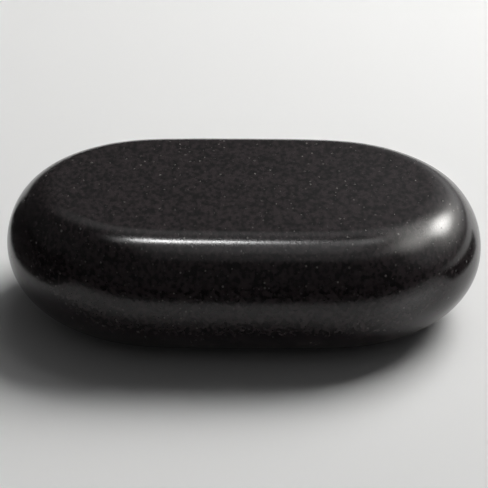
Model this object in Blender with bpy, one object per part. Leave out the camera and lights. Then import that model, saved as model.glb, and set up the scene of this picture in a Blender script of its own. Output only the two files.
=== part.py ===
"""A hot stone for massage: one smooth, flat oval pebble of dark basalt.

The stone lies flat on the ground plane. Metres, +Z up. The origin is at the middle of
its underside, +X runs along its length and -Y is its front.
"""
import math

import bmesh
import bpy

# Whole stone
LENGTH = 0.100
WIDTH = 0.0638
NAME = "stone"

# Outline seen from above: two round ends joined by nearly straight long sides
STRAIGHT_REACH = 0.0155
STRAIGHT_CRISPNESS = 6.4
OUTLINE_LEAN = -0.034

# Rounded edge: how far it reaches in from the widest line, and up or down from it
UPPER_EDGE_REACH = 0.0110
UPPER_EDGE_HEIGHT = 0.0137
LOWER_EDGE_REACH = 0.0160
LOWER_EDGE_HEIGHT = 0.0144

# Upper and lower face inside the rounded edge
TOP_CROWN = 0.0003
REST_SPOT_SHARE = 0.7
REST_SPOT_DROP = 0.0003
GIRTH_HEIGHT = LOWER_EDGE_HEIGHT + REST_SPOT_DROP

# Mesh: a sphere whose rings are shared out over the edge and the two faces
SIDES = 96
RINGS = 40
EDGE_RING_SHARE = 0.7

BASALT_COLOUR = (0.026, 0.024, 0.024, 1.0)
BASALT_ROUGHNESS = 0.32


def clear_scene():
    """Remove the objects that a new Blender file holds."""
    for item in list(bpy.data.objects):
        bpy.data.objects.remove(item, do_unlink=True)


def basalt_material():
    """Dark grey basalt with a low polish."""
    material = bpy.data.materials.new("polished_basalt")
    material.use_nodes = True
    shader = material.node_tree.nodes["Principled BSDF"]
    shader.inputs["Base Color"].default_value = BASALT_COLOUR
    shader.inputs["Roughness"].default_value = BASALT_ROUGHNESS
    shader.inputs["Metallic"].default_value = 0.0
    material.diffuse_color = BASALT_COLOUR
    return material


def girth_point(turn):
    """Point of the widest line at an angle around the stone, and its outward direction."""
    along = math.cos(turn)
    across = math.sin(turn)
    end_reach = LENGTH / 2 - STRAIGHT_REACH
    full = math.tanh(STRAIGHT_CRISPNESS)
    run = math.tanh(STRAIGHT_CRISPNESS * along) / full
    x = end_reach * along + STRAIGHT_REACH * run
    y = WIDTH / 2 * across
    run_slope = STRAIGHT_CRISPNESS / full / math.cosh(STRAIGHT_CRISPNESS * along) ** 2
    pace_x = -(end_reach + STRAIGHT_REACH * run_slope) * across
    pace_y = WIDTH / 2 * along
    pace = math.hypot(pace_x, pace_y)
    return (x, y), (pace_y / pace, -pace_x / pace)


def smooth_step(share):
    """Rise from 0 to 1 that starts and ends level."""
    share = min(max(share, 0.0), 1.0)
    return share * share * (3 - 2 * share)


def face_height(spread, is_top):
    """Height of the upper or lower face; spread is 0 at its middle and 1 at its rim."""
    if is_top:
        return GIRTH_HEIGHT + UPPER_EDGE_HEIGHT + TOP_CROWN * (1 - spread * spread) ** 2
    return REST_SPOT_DROP * smooth_step((spread - REST_SPOT_SHARE) / (1 - REST_SPOT_SHARE))


def stone_point(turn, lift):
    """Point of the surface; lift runs from -1 under the middle to 1 on top of it."""
    is_top = lift > 0
    reach = UPPER_EDGE_REACH if is_top else LOWER_EDGE_REACH
    height = UPPER_EDGE_HEIGHT if is_top else LOWER_EDGE_HEIGHT
    bend = math.pi / 2 * max(-1.0, min(1.0, lift / EDGE_RING_SHARE))
    spread = min(1.0, (1 - abs(lift)) / (1 - EDGE_RING_SHARE))
    (x, y), (out_x, out_y) = girth_point(turn)
    inset = reach * (1 - math.cos(bend))
    x = (x - out_x * inset) * spread
    y = (y - out_y * inset) * spread
    on_face = abs(lift) >= EDGE_RING_SHARE
    z = face_height(spread, is_top) if on_face else GIRTH_HEIGHT + height * math.sin(bend)
    return x, y + OUTLINE_LEAN * x, z


def make_stone(collection):
    """Sphere whose points are moved to the stone's surface."""
    shape = bmesh.new()
    bmesh.ops.create_uvsphere(shape, u_segments=SIDES, v_segments=RINGS, radius=1.0)
    for vertex in shape.verts:
        turn = math.atan2(vertex.co.y, vertex.co.x)
        lift = math.asin(max(-1.0, min(1.0, vertex.co.z))) / (math.pi / 2)
        vertex.co = stone_point(turn, lift)
    bmesh.ops.triangulate(shape, faces=shape.faces[:])
    bmesh.ops.recalc_face_normals(shape, faces=shape.faces[:])
    mesh = bpy.data.meshes.new(NAME)
    shape.to_mesh(mesh)
    shape.free()
    mesh.materials.append(basalt_material())
    mesh.shade_smooth()
    stone = bpy.data.objects.new(NAME, mesh)
    collection.objects.link(stone)
    return stone


def main():
    """Build the stone in a collection of its own."""
    clear_scene()
    collection = bpy.data.collections.new("massage_hot_stone")
    bpy.context.scene.collection.children.link(collection)
    make_stone(collection)


main()
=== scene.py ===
"""A hot stone for massage, dressed for its portrait.

The stone is one smooth pebble of dark basalt. It lies on a pale floor under soft studio
light: a narrow bright strip overhead, a window at the right and dim walls all round. Black
cards and a lit sheet on the floor show only in its polish.
Metres, +Z up; the camera looks along +Y.
"""

import logging
import math
from dataclasses import dataclass, field
from enum import Enum
from typing import Union

import bpy
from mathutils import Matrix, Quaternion, Vector


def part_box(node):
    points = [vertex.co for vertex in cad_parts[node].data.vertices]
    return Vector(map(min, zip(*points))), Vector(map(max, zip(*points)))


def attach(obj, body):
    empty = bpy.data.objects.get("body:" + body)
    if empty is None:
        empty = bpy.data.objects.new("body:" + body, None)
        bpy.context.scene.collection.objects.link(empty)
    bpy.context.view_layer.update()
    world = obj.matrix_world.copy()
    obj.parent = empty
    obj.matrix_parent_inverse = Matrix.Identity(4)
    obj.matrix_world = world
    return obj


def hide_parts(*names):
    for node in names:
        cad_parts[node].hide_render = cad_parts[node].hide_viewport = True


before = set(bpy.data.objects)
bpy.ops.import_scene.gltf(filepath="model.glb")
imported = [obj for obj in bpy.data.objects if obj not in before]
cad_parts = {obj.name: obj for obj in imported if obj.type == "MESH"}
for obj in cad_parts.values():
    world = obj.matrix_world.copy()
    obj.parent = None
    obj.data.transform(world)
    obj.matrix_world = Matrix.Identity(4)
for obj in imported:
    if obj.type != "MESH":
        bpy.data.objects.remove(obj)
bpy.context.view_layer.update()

LOG = logging.getLogger("massage_stone")
MILLIMETRE = 0.001
RIGHT_ANGLE = math.pi / 2
WHITE = (1.0, 1.0, 1.0)
WINDOW_WHITE = (1.0, 0.99, 0.96)
HALO_WHITE = (1.0, 0.99, 0.95)
DAY_WHITE = (1.0, 0.995, 0.98)
Number = Union["Field", float]


class Polish(Enum):
    """How far a stone's skin is polished, as the roughness that it leaves."""

    HONED = 0.42
    SATIN = 0.30
    WAXED = 0.19


class Task(Enum):
    """What a studio lamp is there for."""

    FILL = "lights matt surfaces"
    SHEEN = "shows in polished surfaces"


class Field:
    """A number that a node tree works out at each point, used with plain arithmetic."""

    def __init__(self, tree: bpy.types.NodeTree, socket: bpy.types.NodeSocket) -> None:
        """Wrap a socket.

        Args:
            tree: The node tree that the socket belongs to.
            socket: The output that gives the number.
        """
        self.tree = tree
        self.socket = socket

    def math(self, operation: str, *others: Number) -> "Field":
        """Add a Math node that starts from this number.

        Args:
            operation: The Math node's operation.
            others: The numbers of its further inputs.

        Returns:
            The node's result.
        """
        node = self.tree.nodes.new("ShaderNodeMath")
        node.operation = operation
        for socket, value in zip(node.inputs, (self, *others)):
            if isinstance(value, Field):
                self.tree.links.new(value.socket, socket)
            else:
                socket.default_value = value
        return Field(self.tree, node.outputs[0])

    def __add__(self, other: Number) -> "Field":
        """Sum."""
        return self.math("ADD", other)

    def __radd__(self, other: float) -> "Field":
        """Sum with a plain number on the left."""
        return self.math("ADD", other)

    def __sub__(self, other: Number) -> "Field":
        """Difference."""
        return self.math("SUBTRACT", other)

    def __rsub__(self, other: float) -> "Field":
        """A plain number less this one."""
        return self.math("MULTIPLY_ADD", -1.0, other)

    def __mul__(self, other: Number) -> "Field":
        """Product."""
        return self.math("MULTIPLY", other)

    def __rmul__(self, other: float) -> "Field":
        """Product with a plain number on the left."""
        return self.math("MULTIPLY", other)

    def __truediv__(self, other: Number) -> "Field":
        """Quotient."""
        return self.math("DIVIDE", other)

    def __rtruediv__(self, other: float) -> "Field":
        """A plain number divided by this one."""
        return self.math("POWER", -1.0) * other

    def __neg__(self) -> "Field":
        """The number with its sign turned."""
        return self.math("MULTIPLY", -1.0)

    def between(self, low: float, high: float) -> "Field":
        """The number, kept between two limits."""
        return self.math("MAXIMUM", low).math("MINIMUM", high)

    def step(self) -> "Field":
        """Rise from 0 to 1 that starts and ends level."""
        share = self.between(0.0, 1.0)
        return share * share * (3.0 - 2.0 * share)


def add_node(tree: bpy.types.NodeTree, kind: str, **settings: object) -> bpy.types.Node:
    """Add a node and give its settings.

    Args:
        tree: The tree that takes the node.
        kind: The node's type name.
        settings: The node's own properties, by name.

    Returns:
        The new node.
    """
    node = tree.nodes.new(kind)
    for name, value in settings.items():
        setattr(node, name, value)
    return node


def feed(tree: bpy.types.NodeTree, node: bpy.types.Node, **inputs: object) -> bpy.types.Node:
    """Set or link a node's inputs by their names, with _ for a space.

    Args:
        tree: The tree that holds the node.
        node: The node to feed.
        inputs: A plain value, a Field or a socket for each input.

    Returns:
        The same node.
    """
    for name, value in inputs.items():
        socket = node.inputs[name.replace("_", " ")]
        if isinstance(value, Field):
            tree.links.new(value.socket, socket)
        elif isinstance(value, bpy.types.NodeSocket):
            tree.links.new(value, socket)
        else:
            socket.default_value = value
    return node


@dataclass(frozen=True)
class BasaltFinish:
    """Dark fine-grained basalt, tumbled and waxed: grains, pale feldspar specks, small pores
    darkened with painted shade.

    Sizes are in metres, colours are linear shares of white, and a reach is a share of its
    spacing. A flow below 1 draws the grains out along that axis.
    """

    polish: Polish = Polish.WAXED
    dark: tuple = (0.0046, 0.0034, 0.0037, 1.0)
    light: tuple = (0.0266, 0.0197, 0.0214, 1.0)
    feldspar: tuple = (0.132, 0.124, 0.117, 1.0)
    # Painted shade: a darker colour inside the pores, standing in for the shade in the shallow
    # pits.
    pore_shade_colour: tuple = (0.0015, 0.0012, 0.0012, 1.0)
    reflectance: float = 0.40
    grain: float = 0.85 * MILLIMETRE
    grain_contrast: float = 2.5
    crystal: float = 0.34 * MILLIMETRE
    crystal_contrast: float = 0.45
    mottle: float = 3.2 * MILLIMETRE
    mottle_contrast: float = 0.7
    speck_spacing: float = 1.05 * MILLIMETRE
    speck_reach: float = 0.29
    pore_spacing: float = 1.25 * MILLIMETRE
    pore_reach: float = 0.20
    grain_relief: float = 0.003 * MILLIMETRE
    pore_relief: float = 0.03 * MILLIMETRE
    crystal_relief_share: float = 0.3
    grain_roughness: float = 0.02
    crystal_roughness: float = 0.02
    pore_roughness: float = 0.35
    speck_roughness: float = 0.10
    roughness_limits: tuple = (0.05, 0.9)
    smallest_spot: float = 0.3
    spot_edge: float = 0.4
    flow: tuple = (1.0, 0.6, 1.0)
    seed: float = 4.0

    def noise(self, tree: bpy.types.NodeTree, place: bpy.types.NodeSocket, size: float,
              detail: float) -> Field:
        """Cloudy pattern from 0 to 1.

        Args:
            tree: The material's tree.
            place: The point at which it is read.
            size: The size of its largest clouds.
            detail: How many finer layers it has.

        Returns:
            The pattern's value.
        """
        node = add_node(tree, "ShaderNodeTexNoise", noise_dimensions="4D")
        feed(tree, node, Vector=place, W=self.seed, Scale=1.0 / size, Detail=detail)
        return Field(tree, node.outputs["Fac"])

    def cells(self, tree: bpy.types.NodeTree, place: bpy.types.NodeSocket, size: float,
              shift: float) -> tuple:
        """Random cells, as grains or scattered spots.

        Args:
            tree: The material's tree.
            place: The point at which they are read.
            size: The distance from cell to cell.
            shift: Moves the pattern, so that two of one size differ.

        Returns:
            The distance from the cell's middle, as a share of its size, and the red and
            green of its random colour.
        """
        moved = add_node(tree, "ShaderNodeVectorMath", operation="ADD")
        tree.links.new(place, moved.inputs[0])
        moved.inputs[1].default_value = ((self.seed + shift) * MILLIMETRE,) * 3
        node = add_node(tree, "ShaderNodeTexVoronoi", voronoi_dimensions="3D")
        feed(tree, node, Vector=moved.outputs[0], Scale=1.0 / size)
        parts = add_node(tree, "ShaderNodeSeparateColor")
        tree.links.new(node.outputs["Color"], parts.inputs["Color"])
        distance = Field(tree, node.outputs["Distance"])
        return distance, Field(tree, parts.outputs["Red"]), Field(tree, parts.outputs["Green"])

    def spots(self, tree: bpy.types.NodeTree, place: bpy.types.NodeSocket, size: float,
              reach: float, shift: float) -> tuple:
        """Small soft-edged spots of mixed size.

        Args:
            tree: The material's tree.
            place: The point at which they are read.
            size: The distance from spot to spot.
            reach: The largest spot's radius, as a share of that distance.
            shift: Moves the pattern.

        Returns:
            A mask that is 1 in a spot, and a random number for each spot.
        """
        distance, chance, strength = self.cells(tree, place, size, shift)
        radius = reach * (self.smallest_spot + (1.0 - self.smallest_spot) * chance)
        return ((radius - distance) / (self.spot_edge * reach)).step(), strength

    def blend(self, tree: bpy.types.NodeTree, share: Field, low: object,
              high: object) -> bpy.types.NodeSocket:
        """Mix two colours.

        Args:
            tree: The material's tree.
            share: How much of the second colour shows.
            low: The first colour, as four numbers or a socket.
            high: The second colour, as four numbers or a socket.

        Returns:
            The mixed colour's socket.
        """
        node = add_node(tree, "ShaderNodeMix", data_type="RGBA")
        tree.links.new(share.socket, node.inputs["Factor"])
        for socket, value in zip(node.inputs[6:8], (low, high)):
            if isinstance(value, bpy.types.NodeSocket):
                tree.links.new(value, socket)
            else:
                socket.default_value = value
        return node.outputs[2]

    def material(self) -> bpy.types.Material:
        """Build the material.

        Returns:
            A material that reads Object coordinates only.
        """
        made = bpy.data.materials.new("polished_basalt")
        made.use_nodes = True
        tree = made.node_tree
        shader = tree.nodes["Principled BSDF"]
        drawn = add_node(tree, "ShaderNodeVectorMath", operation="MULTIPLY")
        tree.links.new(add_node(tree, "ShaderNodeTexCoord").outputs["Object"], drawn.inputs[0])
        drawn.inputs[1].default_value = self.flow
        place = drawn.outputs[0]

        grain = self.noise(tree, place, self.grain, 0.0) - 0.5
        mottle = self.noise(tree, place, self.mottle, 2.0) - 0.5
        _, crystal_tone, crystal_height = self.cells(tree, place, self.crystal, shift=0.0)
        speck, speck_tone = self.spots(tree, place, self.speck_spacing, self.speck_reach, shift=7.0)
        pore, pore_tone = self.spots(tree, place, self.pore_spacing, self.pore_reach, shift=13.0)

        tone = 0.5 + self.grain_contrast * grain + self.mottle_contrast * mottle
        tone = tone + self.crystal_contrast * (crystal_tone - 0.5)
        rock = self.blend(tree, tone.between(0.0, 1.0), self.dark, self.light)
        pale = speck * speck_tone * speck_tone
        speckled = self.blend(tree, pale, rock, self.feldspar)
        # Painted shade: the pores are darkened towards this colour; their dip itself comes from the
        # bump below.
        colour = self.blend(tree, pore * pore_tone, speckled, self.pore_shade_colour)
        tree.links.new(colour, shader.inputs["Base Color"])

        rough = self.polish.value + self.crystal_roughness * (crystal_height - 0.5)
        rough = rough + self.grain_roughness * grain
        rough = rough + self.pore_roughness * pore * pore_tone + self.speck_roughness * pale
        tree.links.new(rough.between(*self.roughness_limits).socket, shader.inputs["Roughness"])

        relief = self.grain_relief * (grain + self.crystal_relief_share * crystal_height)
        relief = relief - self.pore_relief * pore * pore_tone
        bump = add_node(tree, "ShaderNodeBump")
        feed(tree, bump, Height=relief, Distance=1.0, Strength=1.0)
        tree.links.new(bump.outputs["Normal"], shader.inputs["Normal"])

        shader.inputs["Specular IOR Level"].default_value = self.reflectance
        shader.inputs["Metallic"].default_value = 0.0
        return made


@dataclass(frozen=True)
class PlainFinish:
    """One plain matt colour, for the floor and the studio's cards."""

    name: str
    colour: tuple
    roughness: float = 0.9
    sheen_of_surface: float = 0.2

    def material(self) -> bpy.types.Material:
        """Build the material.

        Returns:
            A matt material of one colour.
        """
        made = bpy.data.materials.new(self.name)
        made.use_nodes = True
        shader = made.node_tree.nodes["Principled BSDF"]
        shader.inputs["Base Color"].default_value = self.colour
        shader.inputs["Roughness"].default_value = self.roughness
        shader.inputs["Specular IOR Level"].default_value = self.sheen_of_surface
        return made


@dataclass
class TumbledStone:
    """The pebble: a flat oval with a deep rounded edge, made by a Geometry Nodes tree.

    The width is measured before the outline leans. Dent reach and rim are shares of the
    dents' spacing.
    """

    length: float
    height: float
    width: float = 0.0638
    straight_reach: float = 0.0155
    straight_crispness: float = 6.4
    outline_lean: float = -0.034
    upper_edge_reach: float = 0.0110
    upper_edge_height: float = 0.0137
    lower_edge_reach: float = 0.0160
    top_crown: float = 0.0003
    rest_spot_share: float = 0.7
    rest_spot_drop: float = 0.0003
    edge_share: float = 0.7
    points_along: int = 125
    swell_depth: float = 0.12 * MILLIMETRE
    swell_size: float = 18.0 * MILLIMETRE
    dent_depth: float = 0.05 * MILLIMETRE
    dent_spacing: float = 6.5 * MILLIMETRE
    dent_reach: float = 0.16
    dent_rim: float = 0.12
    floor_margin: float = 1.5 * MILLIMETRE
    seed: float = 3.0
    finish: BasaltFinish = field(default_factory=BasaltFinish)

    @property
    def girth_height(self) -> float:
        """Height of the widest line above the surface that the stone rests on."""
        return self.height - self.top_crown - self.upper_edge_height

    @property
    def sizes(self) -> dict:
        """The tree's inputs by name."""
        return {
            "Length": self.length,
            "Width": self.width,
            "Straight Reach": self.straight_reach,
            "Straight Crispness": self.straight_crispness,
            "Outline Lean": self.outline_lean,
            "Girth Height": self.girth_height,
            "Upper Edge Reach": self.upper_edge_reach,
            "Upper Edge Height": self.upper_edge_height,
            "Lower Edge Reach": self.lower_edge_reach,
            "Lower Edge Height": self.girth_height - self.rest_spot_drop,
            "Top Crown": self.top_crown,
            "Rest Spot Share": self.rest_spot_share,
            "Rest Spot Drop": self.rest_spot_drop,
            "Edge Share": self.edge_share,
            "Swell Depth": self.swell_depth,
            "Swell Size": self.swell_size,
            "Dent Depth": self.dent_depth,
            "Dent Spacing": self.dent_spacing,
            "Dent Reach": self.dent_reach,
            "Dent Rim": self.dent_rim,
            "Floor Margin": self.floor_margin,
            "Seed": self.seed,
        }

    def tree(self) -> bpy.types.NodeTree:
        """Build the Geometry Nodes tree that makes the stone.

        Returns:
            The tree, with a named input for each size and for the finish.
        """
        tree = bpy.data.node_groups.new("tumbled_stone", "GeometryNodeTree")
        face = tree.interface
        for name in self.sizes:
            face.new_socket(name=name, in_out="INPUT", socket_type="NodeSocketFloat")
        face.new_socket(name="Points Along", in_out="INPUT", socket_type="NodeSocketInt")
        face.new_socket(name="Finish", in_out="INPUT", socket_type="NodeSocketMaterial")
        face.new_socket(name="Stone", in_out="OUTPUT", socket_type="NodeSocketGeometry")
        entry = add_node(tree, "NodeGroupInput")
        given = {name: Field(tree, entry.outputs[name]) for name in self.sizes}

        cube = add_node(tree, "GeometryNodeMeshCube")
        # It reaches from -1 to 1 on each axis, which directions() turns into even angles.
        cube.inputs["Size"].default_value = (2.0, 2.0, 2.0)
        for side in "XYZ":
            tree.links.new(entry.outputs["Points Along"], cube.inputs["Vertices " + side])
        shaped = self.moved(tree, cube.outputs["Mesh"], "Position", self.surface(tree, given))
        worn = self.moved(tree, shaped, "Offset", self.wear(tree, given))

        smooth = feed(tree, add_node(tree, "GeometryNodeSetShadeSmooth"), Geometry=worn)
        real = add_node(tree, "GeometryNodeRealizeInstances")
        tree.links.new(smooth.outputs[0], real.inputs[0])
        dressed = add_node(tree, "GeometryNodeSetMaterial")
        tree.links.new(real.outputs[0], dressed.inputs["Geometry"])
        tree.links.new(entry.outputs["Finish"], dressed.inputs["Material"])
        leave = add_node(tree, "NodeGroupOutput")
        tree.links.new(dressed.outputs[0], leave.inputs["Stone"])
        return tree

    def moved(self, tree: bpy.types.NodeTree, mesh: bpy.types.NodeSocket, by: str,
              place: tuple) -> bpy.types.NodeSocket:
        """Move a mesh's points.

        Args:
            tree: The tree that holds the mesh.
            mesh: The mesh's socket.
            by: Position to put the points at a place, Offset to move them by it.
            place: The place's x, y and z.

        Returns:
            The moved mesh's socket.
        """
        joined = add_node(tree, "ShaderNodeCombineXYZ")
        for socket, value in zip(joined.inputs, place):
            tree.links.new(value.socket, socket)
        node = add_node(tree, "GeometryNodeSetPosition")
        feed(tree, node, Geometry=mesh, **{by: joined.outputs[0]})
        return node.outputs[0]

    def directions(self, tree: bpy.types.NodeTree) -> tuple:
        """Read where a point of the cube lies as seen from its middle.

        Args:
            tree: The tree that holds the cube.

        Returns:
            The angle around the stone, and the lift: -1 under the middle, 1 on top of it.
        """
        place = add_node(tree, "GeometryNodeInputPosition")
        parts = add_node(tree, "ShaderNodeSeparateXYZ")
        tree.links.new(place.outputs[0], parts.inputs[0])
        angles = (Field(tree, socket) * (RIGHT_ANGLE / 2) for socket in parts.outputs)
        x, y, z = (angle.math("TANGENT") for angle in angles)
        flat = x * x + y * y
        lift = z.math("ARCTAN2", flat.math("SQRT")) / RIGHT_ANGLE
        return y.math("ARCTAN2", x), lift

    def surface(self, tree: bpy.types.NodeTree, given: dict) -> tuple:
        """Work out the smooth surface.

        Args:
            tree: The tree that takes the nodes.
            given: The tree's inputs by name.

        Returns:
            The x, y and z of the surface for each point of the cube.
        """
        turn, lift = self.directions(tree)
        along = turn.math("COSINE")
        across = turn.math("SINE")
        crisp = given["Straight Crispness"]
        run = given["Straight Reach"] / crisp.math("TANH")
        end_reach = 0.5 * given["Length"] - given["Straight Reach"]
        half_width = 0.5 * given["Width"]
        bent = (crisp * along).math("COSH")
        pace_x = -(end_reach + run * crisp / (bent * bent)) * across
        pace_y = half_width * along
        pace = (pace_x * pace_x + pace_y * pace_y).math("SQRT")

        on_top = lift.math("GREATER_THAN", 0.0)
        low_reach = given["Lower Edge Reach"]
        reach = low_reach + on_top * (given["Upper Edge Reach"] - low_reach)
        low_rise = given["Lower Edge Height"]
        rise = low_rise + on_top * (given["Upper Edge Height"] - low_rise)
        bend = (lift / given["Edge Share"]).between(-1.0, 1.0) * RIGHT_ANGLE
        spread = ((1.0 - lift.math("ABSOLUTE")) / (1.0 - given["Edge Share"])).between(0.0, 1.0)
        inset = reach * (1.0 - bend.math("COSINE"))
        girth_x = end_reach * along + run * (crisp * along).math("TANH")
        x = (girth_x - inset * pace_y / pace) * spread
        y = (half_width * across + inset * pace_x / pace) * spread

        hollow = 1.0 - spread * spread
        crown = on_top * given["Top Crown"] * hollow * hollow
        past_spot = ((spread - given["Rest Spot Share"]) / (1.0 - given["Rest Spot Share"])).step()
        drop = (1.0 - on_top) * given["Rest Spot Drop"] * (1.0 - past_spot)
        z = given["Girth Height"] + rise * bend.math("SINE") + crown - drop
        return x, y + given["Outline Lean"] * x, z

    def wear(self, tree: bpy.types.NodeTree, given: dict) -> tuple:
        """Work out the gentle unevenness and the few shallow dents, all inwards.

        Args:
            tree: The tree that takes the nodes.
            given: The tree's inputs by name.

        Returns:
            The x, y and z by which a point moves.
        """
        place = add_node(tree, "GeometryNodeInputPosition").outputs[0]
        swell = add_node(tree, "ShaderNodeTexNoise", noise_dimensions="4D")
        feed(tree, swell, Vector=place, W=given["Seed"], Scale=1.0 / given["Swell Size"],
             Detail=1.0)
        dent = add_node(tree, "ShaderNodeTexVoronoi", voronoi_dimensions="4D")
        feed(tree, dent, Vector=place, W=given["Seed"], Scale=1.0 / given["Dent Spacing"])
        chance = add_node(tree, "ShaderNodeSeparateXYZ")
        tree.links.new(dent.outputs["Color"], chance.inputs[0])
        radius = given["Dent Reach"] * Field(tree, chance.outputs["X"])
        off_rim = radius - Field(tree, dent.outputs["Distance"])
        bowl = (off_rim / given["Dent Rim"]).step()

        parts = add_node(tree, "ShaderNodeSeparateXYZ")
        tree.links.new(place, parts.inputs[0])
        clear_of_floor = (Field(tree, parts.outputs["Z"]) / given["Floor Margin"]).step()
        depth = given["Swell Depth"] * Field(tree, swell.outputs["Fac"])
        depth = depth + given["Dent Depth"] * bowl
        normal = add_node(tree, "ShaderNodeSeparateXYZ")
        tree.links.new(add_node(tree, "GeometryNodeInputNormal").outputs[0], normal.inputs[0])
        inward = -(depth * clear_of_floor)
        return tuple(Field(tree, socket) * inward for socket in normal.outputs)

    def build(self) -> bpy.types.Object:
        """Make the stone as a plain mesh and dress it.

        Returns:
            The stone's object, at the origin.
        """
        carrier = bpy.data.objects.new("stone_rule", bpy.data.meshes.new("stone_rule"))
        bpy.context.scene.collection.objects.link(carrier)
        rule = carrier.modifiers.new("stone_rule", "NODES")
        rule.node_group = self.tree()
        values = {**self.sizes, "Points Along": self.points_along, "Finish": self.finish.material()}
        for item in rule.node_group.interface.items_tree:
            if item.in_out == "INPUT":
                rule[item.identifier] = values[item.name]
        seen = carrier.evaluated_get(bpy.context.evaluated_depsgraph_get())
        mesh = bpy.data.meshes.new_from_object(seen)
        bpy.data.objects.remove(carrier, do_unlink=True)
        mesh.name = "basalt_pebble"
        stone = bpy.data.objects.new("basalt_pebble", mesh)
        bpy.context.scene.collection.objects.link(stone)
        LOG.info("%s: %d faces", stone.name, len(mesh.polygons))
        return stone

    def dress(self, stone: bpy.types.Object, node: str, body: str) -> None:
        """Hide the solid that the stone stands for, and hang the stone on its body.

        Args:
            stone: The finished piece.
            node: The solid that it replaces.
            body: The body that carries it.
        """
        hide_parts(node)
        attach(stone, body)


def heading(azimuth: float, elevation: float) -> Vector:
    """Turn two angles into a direction.

    Args:
        azimuth: Degrees round the stone from the camera's side, to the right.
        elevation: Degrees above the horizon.

    Returns:
        The unit vector from the stone.
    """
    turn = math.radians(azimuth)
    rise = math.radians(elevation)
    flat = math.cos(rise)
    return Vector((math.sin(turn) * flat, -math.cos(turn) * flat, math.sin(rise)))


def soften(lamp: bpy.types.Light) -> None:
    """Let a lamp's light fade from its middle to its edges, as behind a cloth.

    Args:
        lamp: A rectangular lamp.
    """
    lamp.use_nodes = True
    tree = lamp.node_tree
    sides = add_node(tree, "ShaderNodeSeparateXYZ")
    tree.links.new(add_node(tree, "ShaderNodeNewGeometry").outputs["Parametric"], sides.inputs[0])
    fade = 1.0
    for socket in sides.outputs[:2]:
        off_middle = 2.0 * Field(tree, socket) - 1.0
        share = (1.0 - off_middle * off_middle).between(0.0, 1.0)
        fade = share * share * fade
    tree.links.new(fade.socket, tree.nodes["Emission"].inputs["Strength"])


def hang_lamp(name: str, place: Vector, facing: Quaternion, spans: tuple, brightness: float,
              colour: tuple, task: Task) -> bpy.types.Object:
    """Hang a rectangular lamp that the camera doesn't see.

    Args:
        name: Its name.
        place: Where it hangs.
        facing: Its rotation; it shines along its own -Z.
        spans: Its width and height.
        brightness: Its radiance in the middle, as a share of the white of the picture.
        colour: Its colour.
        task: What it is there for.

    Returns:
        The lamp's object.
    """
    lamp = bpy.data.lights.new(name, "AREA")
    lamp.shape = "RECTANGLE"
    lamp.size, lamp.size_y = spans
    lamp.energy = brightness * math.pi * lamp.size * lamp.size_y
    lamp.color = colour
    hung = bpy.data.objects.new(name, lamp)
    hung.location = place
    hung.rotation_mode = "QUATERNION"
    hung.rotation_quaternion = facing
    hung.visible_camera = False
    hung.visible_diffuse = task is Task.FILL
    hung.visible_glossy = task is Task.SHEEN
    if task is Task.SHEEN:
        soften(lamp)
    bpy.context.scene.collection.objects.link(hung)
    LOG.info("%s: lamp of %.2f by %.2f m", name, *spans)
    return hung


@dataclass(frozen=True)
class CeilingBox:
    """A lamp that lies flat overhead. Its place and spans are shares of its height.

    Each hangs at a height of its own, because lamps in one plane hide each other.
    """

    name: str
    height: float
    right: float
    back: float
    across: float
    deep: float
    brightness: float

    def build(self, target: Vector) -> bpy.types.Object:
        """Hang the lamp.

        Args:
            target: The point that it hangs over.

        Returns:
            The lamp's object.
        """
        place = target + Vector((self.right, self.back, 1.0)) * self.height
        spans = (self.across * self.height, self.deep * self.height)
        return hang_lamp(self.name, place, Quaternion(), spans, self.brightness, WHITE, Task.SHEEN)


@dataclass(frozen=True)
class SoftBox:
    """A lamp that faces the stone from the side. Its spans are seen from the stone, in degrees."""

    name: str
    azimuth: float
    elevation: float
    across: float
    tall: float
    brightness: float
    colour: tuple = WHITE
    distance: float = 1.5
    task: Task = Task.SHEEN

    def build(self, target: Vector) -> bpy.types.Object:
        """Hang the lamp.

        Args:
            target: The point that it faces.

        Returns:
            The lamp's object.
        """
        way = heading(self.azimuth, self.elevation)
        facing = (-way).to_track_quat("-Z", "Y")
        spans = tuple(2 * self.distance * math.tan(math.radians(angle / 2))
                      for angle in (self.across, self.tall))
        place = target + way * self.distance
        return hang_lamp(self.name, place, facing, spans, self.brightness, self.colour, self.task)


@dataclass(frozen=True)
class FloorSheet:
    """A sheet on the floor that shows only in polished surfaces, lit like a lamp."""

    name: str
    middle: tuple
    spans: tuple
    brightness: float
    lift: float = 1.0 * MILLIMETRE

    def build(self, _target: Vector) -> bpy.types.Object:
        """Lay the sheet.

        Args:
            _target: Not used, because the sheet has a place of its own.

        Returns:
            The sheet's lamp.
        """
        facing_up = Quaternion((0.0, 1.0, 0.0, 0.0))
        place = Vector((*self.middle, self.lift))
        return hang_lamp(self.name, place, facing_up, self.spans, self.brightness, WHITE,
                         Task.SHEEN)


@dataclass(frozen=True)
class Card:
    """An upright card beside the stone, given by its two lower ends."""

    name: str
    start: tuple
    end: tuple
    height: float
    foot: float = 0.5 * MILLIMETRE

    @property
    def corners(self) -> tuple:
        """Work out the card's corners.

        Returns:
            The four corners in turn.
        """
        low = ((*self.start, self.foot), (*self.end, self.foot))
        high = ((*self.end, self.height), (*self.start, self.height))
        return low + high


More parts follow.
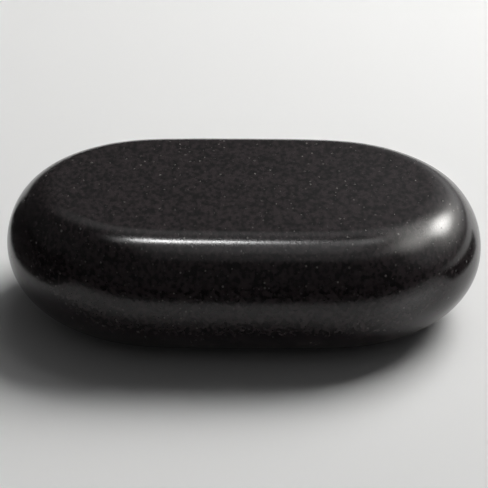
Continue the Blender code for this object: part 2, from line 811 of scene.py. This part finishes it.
@dataclass
class Studio:
    """The pale floor, the lamps and the black cards that show only in the stone's polish."""

    floor_span: float = 8.0
    floor_finish: PlainFinish = PlainFinish("pale_floor", (0.93, 0.93, 0.93, 1.0))
    card_finish: PlainFinish = PlainFinish("black_card", (0.01, 0.01, 0.01, 1.0))
    cards: tuple = (
        Card("front_card", (-0.190, -0.103), (0.300, -0.103), 0.030),
        Card("left_card", (-0.080, -0.025), (-0.075, 0.060), 0.030),
        Card("left_front_card", (-0.080, -0.025), (-0.190, -0.103), 0.045),
        Card("right_card", (0.083, -0.015), (0.083, 0.030), 0.014),
        Card("right_front_card", (0.083, -0.015), (0.210, -0.060), 0.014),
        Card("far_right_card", (0.210, -0.060), (0.300, -0.103), 0.030),
    )
    surround: tuple = (0.041, 0.041, 0.041, 1.0)
    lamps: tuple = (
        CeilingBox("strip_left", 1.50, -0.190, 0.137, 0.14, 0.070, 58.0),
        CeilingBox("strip_middle", 1.48, -0.086, 0.154, 0.25, 0.070, 160.0),
        CeilingBox("strip_left_halo", 1.66, -0.300, 0.120, 0.30, 0.30, 3.4),
        CeilingBox("strip_right_halo", 1.54, 0.250, 0.120, 0.50, 0.34, 3.1),
        CeilingBox("middle_glow", 1.64, 0.150, -0.020, 0.60, 0.24, 1.2),
        CeilingBox("front_glow", 1.56, 0.080, -0.220, 0.90, 0.50, 1.1),
        CeilingBox("front_glow_low", 1.58, 0.150, -0.550, 1.20, 0.50, 0.51),
        CeilingBox("right_front_glow", 1.62, 0.620, -0.350, 0.65, 0.65, 0.79),
        SoftBox("window", 120.0, 33.0, 36.0, 27.0, 21.0, WINDOW_WHITE),
        SoftBox("window_side", 104.0, 30.0, 26.0, 30.0, 0.42, HALO_WHITE),
        SoftBox("window_right_top", 105.0, 60.0, 50.0, 30.0, 1.2, HALO_WHITE),
        SoftBox("window_near_halo", 92.0, 46.0, 44.0, 32.0, 4.5, HALO_WHITE),
        SoftBox("window_upper_halo", 122.0, 51.0, 46.0, 28.0, 1.5, HALO_WHITE),
        SoftBox("window_halo", 118.0, 33.0, 66.0, 56.0, 2.3, HALO_WHITE),
        SoftBox("window_lower_halo", 122.0, 18.0, 70.0, 26.0, 1.2, HALO_WHITE),
        SoftBox("right_near_wall", 60.0, 30.0, 40.0, 50.0, 0.14),
        SoftBox("right_wall", 82.0, 24.0, 44.0, 46.0, 0.66),
        SoftBox("right_horizon", 112.0, 7.0, 80.0, 13.0, 0.34),
        SoftBox("right_back_horizon", 150.0, 9.0, 60.0, 17.0, 0.69),
        SoftBox("back_wall", 180.0, 28.0, 50.0, 50.0, 0.085),
        SoftBox("right_back_wall", 152.0, 26.0, 52.0, 46.0, 0.47),
        SoftBox("upper_back_wall", 165.0, 55.0, 90.0, 38.0, 0.70),
        SoftBox("left_back_wall", -145.0, 35.0, 70.0, 50.0, 0.03),
        SoftBox("front_wall", 0.0, 35.0, 110.0, 60.0, 0.04),
        SoftBox("left_wall", -90.0, 35.0, 80.0, 60.0, 0.06),
        SoftBox("daylight", 132.0, 44.0, 36.0, 30.0, 8.9, DAY_WHITE, 0.8, Task.FILL),
        SoftBox("high_daylight", 150.0, 62.0, 36.0, 28.0, 0.95, task=Task.FILL),
        SoftBox("front_daylight", 0.0, 50.0, 60.0, 40.0, 0.04, task=Task.FILL),
        FloorSheet("lit_sheet", (0.068, -0.046), (0.084, 0.046), 0.78),
    )

    def sheet(self, name: str, corners: tuple, finish: PlainFinish) -> bpy.types.Object:
        """Lay or stand a flat sheet.

        Args:
            name: Its name.
            corners: Its four corners in turn.
            finish: Its finish.

        Returns:
            The sheet's object.
        """
        mesh = bpy.data.meshes.new(name)
        mesh.from_pydata(corners, [], [(0, 1, 2, 3)])
        mesh.materials.append(finish.material())
        made = bpy.data.objects.new(name, mesh)
        bpy.context.scene.collection.objects.link(made)
        LOG.info("%s: stage", name)
        return made

    def floor(self) -> bpy.types.Object:
        """Lay the floor that the stone rests on.

        Returns:
            The floor's object.
        """
        half = self.floor_span / 2
        corners = ((-half, -half, 0), (half, -half, 0), (half, half, 0), (-half, half, 0))
        return self.sheet("floor", corners, self.floor_finish)

    def build(self, target: Vector) -> None:
        """Set up the studio.

        Args:
            target: The middle of the stone.
        """
        self.floor()
        for card in self.cards:
            stood = self.sheet(card.name, card.corners, self.card_finish)
            stood.visible_camera = False
            stood.visible_shadow = False
            stood.visible_diffuse = False
        for lamp in self.lamps:
            lamp.build(target)
        world = bpy.data.worlds.new("dim_room")
        world.use_nodes = True
        world.node_tree.nodes["Background"].inputs["Color"].default_value = self.surround
        bpy.context.scene.world = world
        bpy.context.scene.view_settings.view_transform = "Standard"


@dataclass(frozen=True)
class PortraitCamera:
    """The camera at the portrait's angle, for a square picture of so many pixels a side."""

    azimuth: float = -1.2
    elevation: float = 27.0
    distance: float = 0.5
    picture: float = 488.0
    focal_pixels: float = 2362.0
    sensor: float = 36.0
    aim_pixel: tuple = (243.4, 242.0)

    def build(self, aim: Vector) -> bpy.types.Object:
        """Place the camera.

        Args:
            aim: The point that shows at the aim pixel.

        Returns:
            The camera's object.
        """
        data = bpy.data.cameras.new("portrait_camera")
        data.sensor_width = self.sensor
        data.lens = self.focal_pixels / self.picture * self.sensor
        middle = self.picture / 2
        data.shift_x = (middle - self.aim_pixel[0]) / self.picture
        data.shift_y = (self.aim_pixel[1] - middle) / self.picture
        camera = bpy.data.objects.new("portrait_camera", data)
        away = heading(self.azimuth, self.elevation)
        camera.location = aim + away * self.distance
        camera.rotation_euler = (-away).to_track_quat("-Z", "Y").to_euler()
        bpy.context.scene.collection.objects.link(camera)
        bpy.context.scene.camera = camera
        return camera


def main() -> None:
    """Build the stone, the studio and the camera, in that order."""
    logging.basicConfig(level=logging.INFO, format="%(message)s")
    low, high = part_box("stone")
    span = Vector(high) - Vector(low)
    stone = TumbledStone(length=span.x, height=span.z)
    piece = stone.build()
    stone.dress(piece, node="stone", body="root")
    aim = Vector((0.0, 0.0, stone.girth_height))
    Studio().build(aim)
    PortraitCamera().build(aim)


if __name__ == "__main__":
    main()
